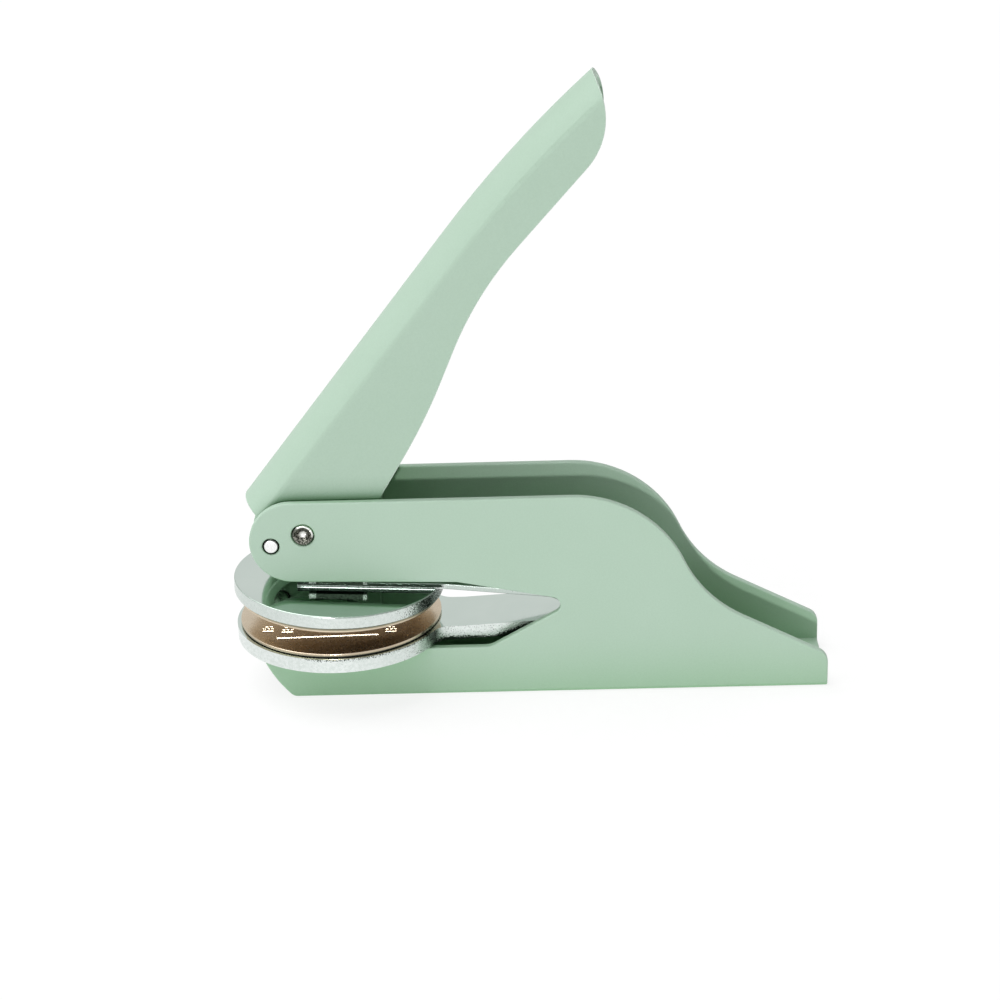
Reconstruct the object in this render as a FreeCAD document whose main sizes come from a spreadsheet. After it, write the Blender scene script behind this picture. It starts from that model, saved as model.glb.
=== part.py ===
import FreeCAD, Part
import math
import os
from types import SimpleNamespace
import Sketcher
from FreeCAD import Placement, Rotation, Vector

# Seal embosser: a bent sheet frame with a slot for the paper, a spring clip that
# holds two round dies in the slot, and a lever whose cams press the clip shut.
#
# Millimetres and degrees. The origin lies on the surface that the frame stands on,
# under the centre of the lower die. X runs from the nose to the tail, Y across the
# cheeks and Z up.

doc = FreeCAD.newDocument("seal_embosser")

# Driving dimensions, kept in the sheet under these names

DIMENSIONS = {
    # frame
    "base_length": 110.2,
    "base_front": 8.4,
    "channel_width": 21.0,
    "channel_sheet": 1.6,
    "bend_radius": 0.9,
    "bend_inner_radius": 0.3,
    "channel_height": 44.0,
    "nose_radius": 8.7,
    "nose_ahead": 8.35,
    "top_flat_end": 49.1,
    "shoulder_radius": 25.1,
    "shoulder_angle": 65.9,
    "sweep_radius": 26.4,
    "tail_angle": 27.1,
    "tail_round": 3.0,
    "front_bulge": 25.0,
    "front_round": 3.0,
    "front_reach": 16.4,
    "edge_round": 0.3,
    # paper slot in the cheeks
    "slot_depth": 33.2,
    "slot_floor_end": 31.7,
    "slot_floor_angle": 29.0,
    "slot_roof_angle": 1.55,
    "slot_bend_x": 25.2,
    "slot_throat_angle": 11.3,
    "slot_tip_radius": 1.8,
    "slot_bend_radius": 4.0,
    # lever pivot and stop pin, placed from the centre of the nose
    "pivot_back": 2.45,
    "pivot_rise": 1.7,
    "pivot_radius": 2.3,
    "pivot_proud": 0.3,
    "dimple_radius": 1.7,
    "dimple_depth": 0.9,
    "pin_gap": 0.05,
    "stop_front": 4.25,
    "stop_drop": 0.7,
    "stop_radius": 1.4,
    "stop_hole_gap": 0.38,
    "stop_proud": 0.15,
    "stop_slot_gap": 0.2,
    "washer_radius": 4.5,
    "washer_gap": 0.1,
    "bush_wall": 1.3,
    "bush_end_gap": 0.1,
    # lever, measured from its pivot while it lies level
    "lever_sheet": 1.5,
    "lever_side_gap": 0.7,
    "lever_open_angle": 51.7,
    "lever_travel": 42.0,
    "lever_front": 3.4,
    "lever_reach": 109.8,
    "crown_height": 13.15,
    "crown_radius": 9.93,
    "crease_radius": 1.6,
    "lever_bend_start": 67.1,
    "lever_bend_radius": 235.0,
    "flange_nose": 10.4,
    "root_x": 15.0,
    "root_drop": 8.35,
    "root_radius": 10.0,
    "belly_x": 34.2,
    "belly_drop": 5.95,
    "belly_radius": 129.0,
    "waist_x": 62.1,
    "waist_rise": 1.64,
    "waist_radius": 75.0,
    "grip_x": 95.1,
    "grip_drop": 0.58,
    "cam_gap": 0.08,
    "cam_lead_angle": 16.0,
    "cam_arc_count": 3,
    # clip
    "disc_radius": 22.0,
    "plate_seat_gap": 0.45,
    "plate_thick": 3.0,
    "arm_width": 14.5,
    "arm_fillet": 4.0,
    "arm_corner": 1.2,
    "lower_arm_level": 4.0,
    "lower_arm_rise": 3.2,
    "tail_bend": 55.6,
    "tail_end": 71.6,
    "upper_plate_thick": 2.8,
    "jaw_gap": 4.72,
    "upper_tilt": 2.7,
    "jaw_swing": 3.8,
    "strip_thick": 1.15,
    "strip_front": 8.1,
    "strip_fall": 6.2,
    "strip_past_disc": 0.6,
    # dies and their pads
    "die_radius": 21.2,
    "die_thick": 0.7,
    "die_chamfer": 0.2,
    "pad_inset": 0.4,
    "lower_pad_thick": 0.2,
    "upper_pad_thick": 0.45,
    # press plate, rivets, post and screws
    "press_plate_front": 5.6,
    "press_plate_back": 6.4,
    "press_plate_side": 1.15,
    "press_plate_thick": 1.2,
    "arm_rivet_front": 10.2,
    "arm_rivet_back": 17.2,
    "arm_rivet_radius": 1.5,
    "tail_rivet_spread": 4.9,
    "tail_rivet_radius": 1.1,
    "rivet_head_lap": 0.8,
    "rivet_head_rise": 0.8,
    "hole_gap": 0.1,
    "post_radius": 4.5,
    "screw_radius": 1.5,
    "screw_head_lap": 1.2,
    "screw_head_rise": 1.6,
    "screw_slot_width": 0.8,
    "screw_slot_depth": 0.7,
    "screw_depth_share": 0.4,
    "base_head_lap": 1.4,
    "base_head_inset": 0.1,
    # margin by which a cutting shape runs past what it cuts
    "overrun": 1.0,
}

# Points nearer to each other than this are one point
SAME_POINT = 1e-5

sheet = doc.addObject("Spreadsheet::Sheet", "dims")
for row, (name, number) in enumerate(DIMENSIONS.items(), start=1):
    sheet.set(f"A{row}", name)
    sheet.set(f"B{row}", str(number))
    sheet.setAlias(f"B{row}", name)
doc.recompute()
d = SimpleNamespace(**{name: float(sheet.get(name)) for name in DIMENSIONS})

# Values worked out from the driving dimensions

half_channel = d.channel_width / 2
cheek_inside = half_channel - d.channel_sheet
half_lever = cheek_inside - d.lever_side_gap
flange_inside = half_lever - d.lever_sheet

nose_x = -d.nose_ahead
nose_z = d.channel_height - d.nose_radius
nose_front = nose_x - d.nose_radius
tail_x = d.base_length - d.base_front
pivot_x = nose_x + d.pivot_back
pivot_z = nose_z + d.pivot_rise
stop_x = nose_x - d.stop_front
stop_z = nose_z - d.stop_drop

slot_floor = d.channel_height - d.slot_depth
lower_plate_bottom = slot_floor + d.plate_seat_gap
lower_plate_top = lower_plate_bottom + d.plate_thick
lower_die_bottom = lower_plate_top + d.lower_pad_thick
upper_disc_top = (
    lower_die_bottom + d.die_thick + d.jaw_gap + d.die_thick + d.upper_pad_thick + d.upper_plate_thick
)
arm_bend_x = d.disc_radius + d.lower_arm_level
arm_rise = math.tan(math.radians(d.lower_arm_rise)) * (d.tail_bend - arm_bend_x)
tail_plate_bottom = lower_plate_bottom + arm_rise
tail_plate_top = tail_plate_bottom + d.plate_thick
post_height = tail_plate_bottom - d.channel_sheet
screw_depth = d.screw_depth_share * post_height

strip_bend_x = d.disc_radius + d.strip_past_disc
strip_bend_z = upper_disc_top - strip_bend_x * math.tan(math.radians(d.upper_tilt))
strip_drop = math.tan(math.radians(d.strip_fall)) * (d.tail_bend - strip_bend_x)
tail_strip_bottom = strip_bend_z - strip_drop
tail_strip_top = tail_strip_bottom + d.strip_thick
tail_middle = (d.tail_bend + d.tail_end) / 2

# The strip bends as if it turned about this point of its clamped tail
jaw_hinge_x = tail_middle
jaw_hinge_z = tail_strip_bottom + d.strip_thick / 2
jaw_ratio = d.jaw_swing / d.lever_travel

jaw_place = Placement(Vector(0, 0, upper_disc_top), Rotation(Vector(0, 1, 0), d.upper_tilt))
lever_place = Placement(Vector(pivot_x, 0, pivot_z), Rotation(Vector(0, 1, 0), -d.lever_open_angle))

# Points and outlines in the plane of a sketch


def flat(x, y):
    return Vector(x, y, 0)


def polar(centre, radius, angle):
    """Point at an angle in radians round a centre."""
    return centre + flat(radius * math.cos(angle), radius * math.sin(angle))


def angle_of(direction):
    return math.atan2(direction.y, direction.x)


def arc(centre, radius, start, end):
    """Arc from one angle in radians to another, either way round."""
    circle = Part.Circle(centre, Vector(0, 0, 1), radius)
    edge = Part.ArcOfCircle(circle, min(start, end), max(start, end))
    return SimpleNamespace(edge=edge, start=polar(centre, radius, start), end=polar(centre, radius, end))


def short_arc(centre, radius, start, end):
    """Arc of less than half a turn between two points on a circle."""
    first = angle_of(start - centre)
    turn = (angle_of(end - centre) - first + math.pi) % (2 * math.pi) - math.pi
    return arc(centre, radius, first, first + turn)


def arc_through(start, middle, end):
    circle = Part.Circle(start, middle, end)
    return short_arc(circle.Center, circle.Radius, start, end)


def corner(before, point, after, radius):
    """Arc that rounds the corner between two straight sides."""
    back = (before - point).normalize()
    ahead = (after - point).normalize()
    half_angle = back.getAngle(ahead) / 2
    reach = radius / math.tan(half_angle)
    centre = point + (back + ahead).normalize() * (radius / math.sin(half_angle))
    return short_arc(centre, radius, point + back * reach, point + ahead * reach)


def crossing(first, first_angle, second, second_angle):
    """Point where two lines cross, each given by a point and its angle in radians."""
    along = flat(math.cos(first_angle), math.sin(first_angle))
    other = flat(math.cos(second_angle), math.sin(second_angle))
    gap = second - first
    run = (gap.x * other.y - gap.y * other.x) / (along.x * other.y - along.y * other.x)
    return first + along * run


def outline(pieces):
    """Closed outline of arcs and lone points, joined by straight lines."""
    edges = []
    for index, piece in enumerate(pieces):
        following = pieces[(index + 1) % len(pieces)]
        end = piece if isinstance(piece, Vector) else piece.end
        start = following if isinstance(following, Vector) else following.start
        if not isinstance(piece, Vector):
            edges.append(piece.edge)
        if not end.isEqual(start, SAME_POINT):
            edges.append(Part.LineSegment(end, start))
    return edges


def rectangle(low_x, high_x, low_y, high_y):
    return outline([flat(low_x, low_y), flat(high_x, low_y), flat(high_x, high_y), flat(low_x, high_y)])


def thickened(path, thickness):
    """Closed outline of a bent strip: a path and its copy raised by the thickness."""
    normals = []
    for start, end in zip(path, path[1:]):
        run = end - start
        normals.append(flat(-run.y, run.x).normalize())
    above = []
    for point, before, after in zip(path, normals[:1] + normals, normals + normals[-1:]):
        mitre = (before + after).normalize()
        above.append(point + mitre * (thickness / mitre.dot(before)))
    return outline(path + above[::-1])


# Features, with sizes given as expressions of the sheet's cells or worked out above


def bind(feature, **sizes):
    for name, size in sizes.items():
        if isinstance(size, str):
            feature.setExpression(name, size)
        else:
            setattr(feature, name, size)
    return feature


def new_body(label, place=Placement()):
    body = doc.addObject("PartDesign::Body", label)
    body.Placement = place
    return body


def new_sketch(body, name, role, edges, shift=Placement()):
    """Sketch on one of the body's origin planes, moved within that plane's frame."""
    sketch = body.newObject("Sketcher::SketchObject", f"{body.Name}_{name}")
    plane = next(feature for feature in body.Origin.OriginFeatures if feature.Role == role)
    sketch.AttachmentSupport = [(plane, "")]
    sketch.MapMode = "FlatFace"
    sketch.AttachmentOffset = shift
    sketch.addGeometry(edges, False)
    return sketch


def circles_sketch(body, name, role, centres, radius, shift=Placement()):
    """Sketch of equal circles whose radius is an expression."""
    circles = [Part.Circle(centre, Vector(0, 0, 1), 1) for centre in centres]
    sketch = new_sketch(body, name, role, circles, shift)
    for index in range(len(circles)):
        constraint = sketch.addConstraint(Sketcher.Constraint("Radius", index, 1))
        sketch.setExpression(f"Constraints[{constraint}]", radius)
    return sketch


def raised(height):
    """Shift along the normal of a sketch's plane."""
    return Placement(Vector(0, 0, height), Rotation())


def pad(body, sketch, length, both_ways=False):
    feature = body.newObject("PartDesign::Pad", f"{sketch.Name}_pad")
    feature.Profile = sketch
    if both_ways:
        feature.SideType = "Symmetric"
    bind(feature, Length=length)
    doc.recompute()
    return feature


def check_cut(body, feature, volume_before):
    doc.recompute()
    if not body.Shape.Volume < volume_before:
        raise RuntimeError(f"{feature.Name} cuts nothing")


def pocket_through(body, sketch):
    """Cut a sketch through the whole body, both ways from its plane."""
    doc.recompute()
    volume_before = body.Shape.Volume
    feature = body.newObject("PartDesign::Pocket", f"{sketch.Name}_pocket")
    feature.Profile = sketch
    feature.SideType = "Symmetric"
    feature.Type = "ThroughAll"
    check_cut(body, feature, volume_before)


def turned_cut(body, sketch):
    """Cut a sketch turned once about its vertical axis."""
    doc.recompute()
    volume_before = body.Shape.Volume
    feature = body.newObject("PartDesign::Groove", f"{sketch.Name}_groove")
    feature.Profile = sketch
    feature.ReferenceAxis = (sketch, ["V_Axis"])
    check_cut(body, feature, volume_before)


def soften(body, kind, size, wanted):
    """Fillet or chamfer the edges of a body that a test picks."""
    doc.recompute()
    base = body.Tip
    names = [f"Edge{index}" for index, edge in enumerate(base.Shape.Edges, start=1) if wanted(edge)]
    feature = body.newObject(f"PartDesign::{kind}", f"{base.Name}_{kind.lower()}")
    feature.Base = (base, names)
    bind(feature, **{"Radius" if kind == "Fillet" else "Size": size})
    doc.recompute()


def edge_points(edge):
    """Both ends and the middle of an edge."""
    middle = edge.valueAt((edge.FirstParameter + edge.LastParameter) / 2)
    return [edge.valueAt(edge.FirstParameter), middle, edge.valueAt(edge.LastParameter)]


def near(value, wanted):
    return abs(value - wanted) < SAME_POINT


def upright_edge(edge, x, y):
    """True for a vertical edge at a place, on either side."""
    return all(near(point.x, x) and near(abs(point.y), y) for point in edge_points(edge))


def cheek_edge(edge, face, seam):
    """True for an edge in a face of the cheeks, above the lip and not where the sheet bends."""
    points = edge_points(edge)
    in_face = all(near(abs(point.y), face) for point in points)
    bent = all(near(point.z, seam) for point in points)
    below_lip = all(max(point.x + d.base_front, point.z - slot_floor) < SAME_POINT for point in points)
    return in_face and not bent and not below_lip


def cylinder(name, radius, height, place):
    return bind(doc.addObject("Part::Cylinder", name), Radius=radius, Height=height, Placement=place)


def cone(name, radius_below, radius_above, height, place):
    feature = doc.addObject("Part::Cone", name)
    return bind(feature, Radius1=radius_below, Radius2=radius_above, Height=height, Placement=place)


def fused(label, solids):
    feature = doc.addObject("Part::MultiFuse", label)
    feature.Shapes = solids
    return feature


def grouped(label, solids):
    """Several like solids in one node."""
    feature = doc.addObject("Part::Compound", label)
    feature.Links = solids
    return feature


def cut(label, base, tools):
    feature = doc.addObject("Part::Cut", label)
    feature.Base = base
    feature.Tool = tools[0] if len(tools) == 1 else grouped(f"{label}_cutters", tools)
    return feature


def upright(x, z):
    return Placement(Vector(x, 0, z), Rotation())


def across(x, y, z, side):
    """Placement with the axis along Y, towards +Y or -Y as the side says."""
    return Placement(Vector(x, y, z), Rotation(Vector(1, 0, 0), -90 * side))


# Frame: one bent sheet with a floor and two cheeks


def channel_section():
    """Cross-section of the frame before its sides are cut to shape."""
    top = d.channel_height + d.overrun
    outer_left = flat(-half_channel, 0)
    outer_right = flat(half_channel, 0)
    inner_left = flat(-cheek_inside, d.channel_sheet)
    inner_right = flat(cheek_inside, d.channel_sheet)
    return outline([
        flat(-half_channel, top),
        corner(flat(-half_channel, top), outer_left, outer_right, d.bend_radius),
        corner(outer_left, outer_right, flat(half_channel, top), d.bend_radius),
        flat(half_channel, top),
        flat(cheek_inside, top),
        corner(flat(cheek_inside, top), inner_right, inner_left, d.bend_inner_radius),
        corner(inner_right, inner_left, flat(-cheek_inside, top), d.bend_inner_radius),
        flat(-cheek_inside, top),
    ])


def front_arcs(lip):
    """Curved front under the slot: a small arc off the floor, then a long one up to the lip."""
    heel = flat(-d.base_front, d.front_round)
    span = lip - heel
    inner = d.front_bulge - d.front_round
    turn = math.acos((inner ** 2 + span.Length ** 2 - d.front_bulge ** 2) / (2 * inner * span.Length))
    centre = polar(heel, inner, angle_of(span) - turn)
    meeting = heel + (heel - centre).normalize() * d.front_round
    return [
        short_arc(heel, d.front_round, flat(-d.base_front, 0), meeting),
        short_arc(centre, d.front_bulge, meeting, lip),
    ]


def frame_side():
    """Side view of the frame with its slot, counted from the nose over the top to the tail."""
    nose = flat(nose_x, nose_z)
    shoulder = math.radians(d.shoulder_angle)
    tail = math.radians(d.tail_angle)
    shoulder_centre = flat(d.top_flat_end, d.channel_height - d.shoulder_radius)
    turn = polar(shoulder_centre, d.shoulder_radius, math.pi / 2 - shoulder)
    sweep_centre = polar(turn, d.sweep_radius, math.pi / 2 - shoulder)
    sweep_end = polar(sweep_centre, d.sweep_radius, 3 * math.pi / 2 - tail)
    tail_top = flat(tail_x, sweep_end.y - (tail_x - sweep_end.x) * math.tan(tail))

    roof = math.radians(d.slot_roof_angle)
    throat = math.radians(d.slot_throat_angle)
    ramp = math.radians(d.slot_floor_angle)
    roof_start = polar(nose, d.nose_radius, 3 * math.pi / 2 - roof)
    roof_bend = flat(d.slot_bend_x, roof_start.y - (d.slot_bend_x - roof_start.x) * math.tan(roof))
    floor_bend = flat(d.slot_floor_end, slot_floor)
    tip = crossing(floor_bend, ramp, roof_bend, -throat)
    lip = flat(-d.front_reach, slot_floor)
    below_lip = front_arcs(lip)
    return outline([
        arc(nose, d.nose_radius, 3 * math.pi / 2 - roof, math.pi / 2),
        arc(shoulder_centre, d.shoulder_radius, math.pi / 2, math.pi / 2 - shoulder),
        arc(sweep_centre, d.sweep_radius, 3 * math.pi / 2 - shoulder, 3 * math.pi / 2 - tail),
        corner(sweep_end, tail_top, flat(tail_x, 0), d.tail_round),
        flat(tail_x, -d.overrun),
        flat(-d.base_front, -d.overrun),
        *below_lip,
        corner(lip, floor_bend, tip, d.slot_bend_radius),
        corner(floor_bend, tip, roof_bend, d.slot_tip_radius),
        corner(tip, roof_bend, roof_start, d.slot_bend_radius),
    ])


def base_screw_hole():
    """Half section of the countersunk hole, from the axis outwards."""
    bore = d.screw_radius + d.hole_gap
    rim = bore + d.base_head_lap + d.base_head_inset
    top = d.channel_sheet + d.overrun
    return outline([
        flat(0, -d.overrun),
        flat(rim + d.overrun, -d.overrun),
        flat(bore, d.base_head_lap + d.base_head_inset),
        flat(bore, top),
        flat(0, top),
    ])


def frame_channel():
    body = new_body("frame_channel")
    section = new_sketch(body, "section", "YZ_Plane", channel_section(), raised(nose_front))
    pad(body, section, "dims.nose_radius + dims.nose_ahead + dims.base_length - dims.base_front")
    margin = 2 * d.overrun
    waste = rectangle(nose_front - margin, tail_x + margin, -margin, d.channel_height + margin)
    pocket_through(body, new_sketch(body, "side", "XZ_Plane", waste + frame_side()))
    pivot = [flat(pivot_x, pivot_z)]
    stop = [flat(stop_x, stop_z)]
    bore = "dims.pivot_radius + dims.pin_gap"
    pocket_through(body, circles_sketch(body, "pivot_hole", "XZ_Plane", pivot, bore))
    bore = "dims.stop_radius + dims.stop_hole_gap"
    pocket_through(body, circles_sketch(body, "stop_hole", "XZ_Plane", stop, bore))
    turned_cut(body, new_sketch(body, "screw_hole", "XZ_Plane", base_screw_hole(), upright(tail_middle, 0)))
    inner_seam = d.channel_sheet + d.bend_inner_radius
    soften(body, "Fillet", "dims.edge_round", lambda edge: cheek_edge(edge, half_channel, d.bend_radius))
    soften(body, "Fillet", "dims.edge_round", lambda edge: cheek_edge(edge, cheek_inside, inner_seam))
    return body


# Lever pivot and stop


def pivot_rivet():
    end = half_channel + d.pivot_proud
    shank = cylinder("pivot_shank", "dims.pivot_radius", 2 * end, across(pivot_x, -end, pivot_z, 1))
    dimples = [
        cone(name, "dims.dimple_radius", 0, "dims.dimple_depth", across(pivot_x, -end * side, pivot_z, side))
        for name, side in (("near_dimple", 1), ("far_dimple", -1))
    ]
    return cut("pivot_rivet", shank, dimples)


def pivot_ring(label, outer_radius, inside, thickness):
    """Ring on the pivot that starts at a place along Y."""
    place = across(pivot_x, inside, pivot_z, 1)
    rim = cylinder(f"{label}_rim", outer_radius, thickness, place)
    bore_place = across(pivot_x, inside - d.overrun, pivot_z, 1)
    bore_length = thickness + 2 * d.overrun
    bore = cylinder(f"{label}_bore", "dims.pivot_radius + dims.pin_gap", bore_length, bore_place)
    return cut(label, rim, [bore])


def pivot_bush():
    end = flange_inside - d.bush_end_gap
    return pivot_ring("pivot_bush", "dims.pivot_radius + dims.pin_gap + dims.bush_wall", -end, 2 * end)


def pivot_washers():
    thickness = d.lever_side_gap - d.washer_gap
    near_ring = pivot_ring("near_washer", "dims.washer_radius", -cheek_inside, thickness)
    far_ring = pivot_ring("far_washer", "dims.washer_radius", cheek_inside - thickness, thickness)
    return grouped("pivot_washers", [near_ring, far_ring])


def stop_pin():
    end = half_channel + d.stop_proud
    return cylinder("stop_pin", "dims.stop_radius", 2 * end, across(stop_x, -end, stop_z, 1))


# Lever, drawn level with its pivot at the origin


def lever_section(rise):
    """Cross-section of the lever: two flanges and a crowned back."""
    depth = rise - d.flange_nose - d.root_drop - d.overrun
    crown = flat(0, rise + d.crown_height - d.crown_radius)
    crease_y = half_lever - d.crease_radius
    crease_rise = math.sqrt((d.crown_radius - d.crease_radius) ** 2 - crease_y ** 2)
    crease = angle_of(flat(crease_y, crease_rise))
    right = crown + flat(crease_y, crease_rise)
    left = crown + flat(-crease_y, crease_rise)
    inner_crease = d.crease_radius - d.lever_sheet
    inner_crown = d.crown_radius - d.lever_sheet
    return outline([
        flat(half_lever, depth),
        arc(right, d.crease_radius, 0, crease),
        arc(crown, d.crown_radius, crease, math.pi - crease),
        arc(left, d.crease_radius, math.pi - crease, math.pi),
        flat(-half_lever, depth),
        flat(-flange_inside, depth),
        arc(left, inner_crease, math.pi, math.pi - crease),
        arc(crown, inner_crown, math.pi - crease, crease),
        arc(right, inner_crease, crease, 0),
        flat(flange_inside, depth),
    ])


def cam_point(swing):
    """Point of the cam that meets the press plate when the jaw has swung by an angle.

    The plate's top is a straight line that turns with the jaw. The cam is the curve that
    this line touches at every angle, seen from the turning lever.
    """
    tilt = math.radians(d.upper_tilt)
    hinge = Vector(jaw_hinge_x, 0, jaw_hinge_z)
    plate_top = jaw_place.multVec(Vector(0, 0, d.strip_thick + d.press_plate_thick))
    rest_normal = Vector(math.sin(tilt), 0, math.cos(tilt))
    plate_height = (plate_top - hinge).dot(rest_normal)
    normal = Vector(math.sin(tilt - swing), 0, math.cos(tilt - swing))
    turning = Vector(-normal.z, 0, normal.x)
    arm = Vector(pivot_x, 0, pivot_z) - hinge
    distance = arm.dot(normal) - plate_height - d.cam_gap
    slide = arm.dot(turning) * jaw_ratio / (1 + jaw_ratio)
    lever_angle = math.radians(d.lever_open_angle) - swing / jaw_ratio
    facing = -math.pi / 2 - tilt + swing - lever_angle
    return polar(polar(flat(0, 0), distance, facing), slide, facing + math.pi / 2)


def cam_arcs():
    """The cam as arcs that follow one another, each through three of its points."""
    steps = 2 * round(d.cam_arc_count)
    points = [cam_point(math.radians(d.jaw_swing) * step / steps) for step in range(steps + 1)]
    return [arc_through(*points[first:first + 3]) for first in range(0, steps, 2)]


def lever_side():
    """Side view of the lever, counted from the front edge down round the pivot to the cam."""
    pivot = flat(0, 0)
    above = d.crown_height + d.overrun
    cams = cam_arcs()
    front_angle = math.acos(-d.lever_front / d.flange_nose)
    lead_angle = angle_of(cams[0].start) + 2 * math.pi - math.radians(d.cam_lead_angle)
    root = flat(d.root_x, -d.root_drop)
    belly = flat(d.belly_x, -d.belly_drop)
    waist = flat(d.waist_x, d.waist_rise)
    grip = flat(d.grip_x, -d.grip_drop)
    bend_centre = flat(d.lever_bend_start, d.crown_height - d.lever_bend_radius)
    tip_x = d.lever_reach
    tip_z = bend_centre.y + math.sqrt(d.lever_bend_radius ** 2 - (tip_x - bend_centre.x) ** 2)
    tip = flat(tip_x, tip_z)
    grip_run = (grip - waist).normalize()
    grip_normal = flat(-grip_run.y, grip_run.x)
    chord = tip - grip
    end_radius = chord.Length ** 2 / (2 * chord.dot(grip_normal))
    end_centre = grip + grip_normal * end_radius
    end_angle = angle_of(tip - end_centre) + 2 * d.overrun / end_radius
    end_arc = arc(end_centre, end_radius, angle_of(grip - end_centre), end_angle)
    return outline([
        flat(-d.lever_front, above),
        arc(pivot, d.flange_nose, front_angle, lead_angle),
        *cams,
        corner(cams[-1].end, root, belly, d.root_radius),
        corner(root, belly, waist, d.belly_radius),
        corner(belly, waist, grip, d.waist_radius),
        end_arc,
        flat(end_arc.end.x, above),
    ])


def stop_slot():
    """Curved slot in the flanges, in which the stop pin lies over the whole travel."""
    reach = flat(stop_x - pivot_x, stop_z - pivot_z)
    start = angle_of(reach) + 2 * math.pi - math.radians(d.lever_open_angle)
    end = start + math.radians(d.lever_travel)
    half_width = d.stop_radius + d.stop_slot_gap
    pivot = flat(0, 0)
    start_centre = polar(pivot, reach.Length, start)
    end_centre = polar(pivot, reach.Length, end)
    return outline([
        arc(pivot, reach.Length + half_width, start, end),
        arc(end_centre, half_width, end, end + math.pi),
        arc(pivot, reach.Length - half_width, end, start),
        arc(start_centre, half_width, start + math.pi, start + 2 * math.pi),
    ])


def lever_shell():
    body = new_body("lever_shell", lever_place)
    front = -d.flange_nose - d.overrun
    straight = new_sketch(body, "section", "YZ_Plane", lever_section(0), raised(front))
    pad(body, straight, "dims.lever_bend_start + dims.flange_nose + dims.overrun")

    axis_drop = d.lever_bend_radius - d.crown_height
    axis_place = Placement(Vector(0, -axis_drop, d.lever_bend_start), Rotation())
    bent = new_sketch(body, "bent_section", "YZ_Plane", lever_section(axis_drop), axis_place)
    bend = body.newObject("PartDesign::Revolution", "lever_bend")
    bend.Profile = bent
    bend.ReferenceAxis = (bent, ["H_Axis"])
    reach = d.lever_reach - d.lever_bend_start + d.overrun
    bend.Angle = math.degrees(math.asin(reach / axis_drop))
    doc.recompute()

    margin = 2 * d.overrun
    low = -2 * (d.flange_nose + d.root_drop)
    waste = rectangle(front - margin, d.lever_reach + 2 * margin, low, d.crown_height + margin)
    pocket_through(body, new_sketch(body, "side", "XZ_Plane", waste + lever_side()))
    bore = "dims.pivot_radius + dims.pin_gap"
    pocket_through(body, circles_sketch(body, "pivot_hole", "XZ_Plane", [flat(0, 0)], bore))
    pocket_through(body, new_sketch(body, "stop_slot", "XZ_Plane", stop_slot()))
    return body


# Clip: a keyhole plate below, a disc on a spring strip above, joined at the tail

tail_rivet_places = [tail_middle - d.tail_rivet_spread, tail_middle + d.tail_rivet_spread]
arm_rivet_places = [d.arm_rivet_front, d.arm_rivet_back]


def tail_holes(body):
    """Holes for the two rivets and the screw that pass through the clip's tail."""
    rivets = [flat(x, 0) for x in tail_rivet_places]
    bore = "dims.tail_rivet_radius + dims.hole_gap"
    pocket_through(body, circles_sketch(body, "rivet_holes", "XY_Plane", rivets, bore))
    bore = "dims.screw_radius + dims.hole_gap"
    pocket_through(body, circles_sketch(body, "screw_hole", "XY_Plane", [flat(tail_middle, 0)], bore))


def lower_plate():
    body = new_body("lower_plate")
    place = raised(lower_plate_bottom)
    disc = circles_sketch(body, "disc", "XY_Plane", [flat(0, 0)], "dims.disc_radius", place)
    pad(body, disc, "dims.plate_thick")
    path = [
        flat(0, lower_plate_bottom),
        flat(arm_bend_x, lower_plate_bottom),
        flat(d.tail_bend, tail_plate_bottom),
        flat(d.tail_end, tail_plate_bottom),
    ]
    arm = new_sketch(body, "arm", "XZ_Plane", thickened(path, d.plate_thick))
    pad(body, arm, "dims.arm_width", both_ways=True)
    half_arm = d.arm_width / 2
    neck_x = math.sqrt(d.disc_radius ** 2 - half_arm ** 2)
    soften(body, "Fillet", "dims.arm_fillet", lambda edge: upright_edge(edge, neck_x, half_arm))
    soften(body, "Fillet", "dims.arm_corner", lambda edge: upright_edge(edge, d.tail_end, half_arm))
    tail_holes(body)
    return body


def round_layer(label, place, radius, thickness):
    """Round plate whose underside lies at a height in its own placement."""
    body = new_body(label, place)
    pad(body, circles_sketch(body, "disc", "XY_Plane", [flat(0, 0)], radius), thickness)
    return body


def die(label, place):
    body = round_layer(label, place, "dims.die_radius", "dims.die_thick")
    soften(body, "Chamfer", "dims.die_chamfer", lambda edge: near(edge.Length, 2 * math.pi * d.die_radius))
    return body


def in_jaw(x, z):
    """Placement on the tilted upper disc, measured from the centre of its top."""
    return jaw_place.multiply(upright(x, z))


pad_radius = "dims.die_radius - dims.pad_inset"
upper_pad_low = -d.upper_plate_thick - d.upper_pad_thick


def upper_disc():
    place = in_jaw(0, -d.upper_plate_thick)
    body = round_layer("upper_disc", place, "dims.disc_radius", "dims.upper_plate_thick")
    soften(body, "Fillet", "dims.edge_round", lambda edge: near(edge.Length, 2 * math.pi * d.disc_radius))
    rivets = [flat(x, 0) for x in arm_rivet_places]
    bore = "dims.arm_rivet_radius + dims.hole_gap"
    pocket_through(body, circles_sketch(body, "rivet_holes", "XY_Plane", rivets, bore))
    return body


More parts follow.
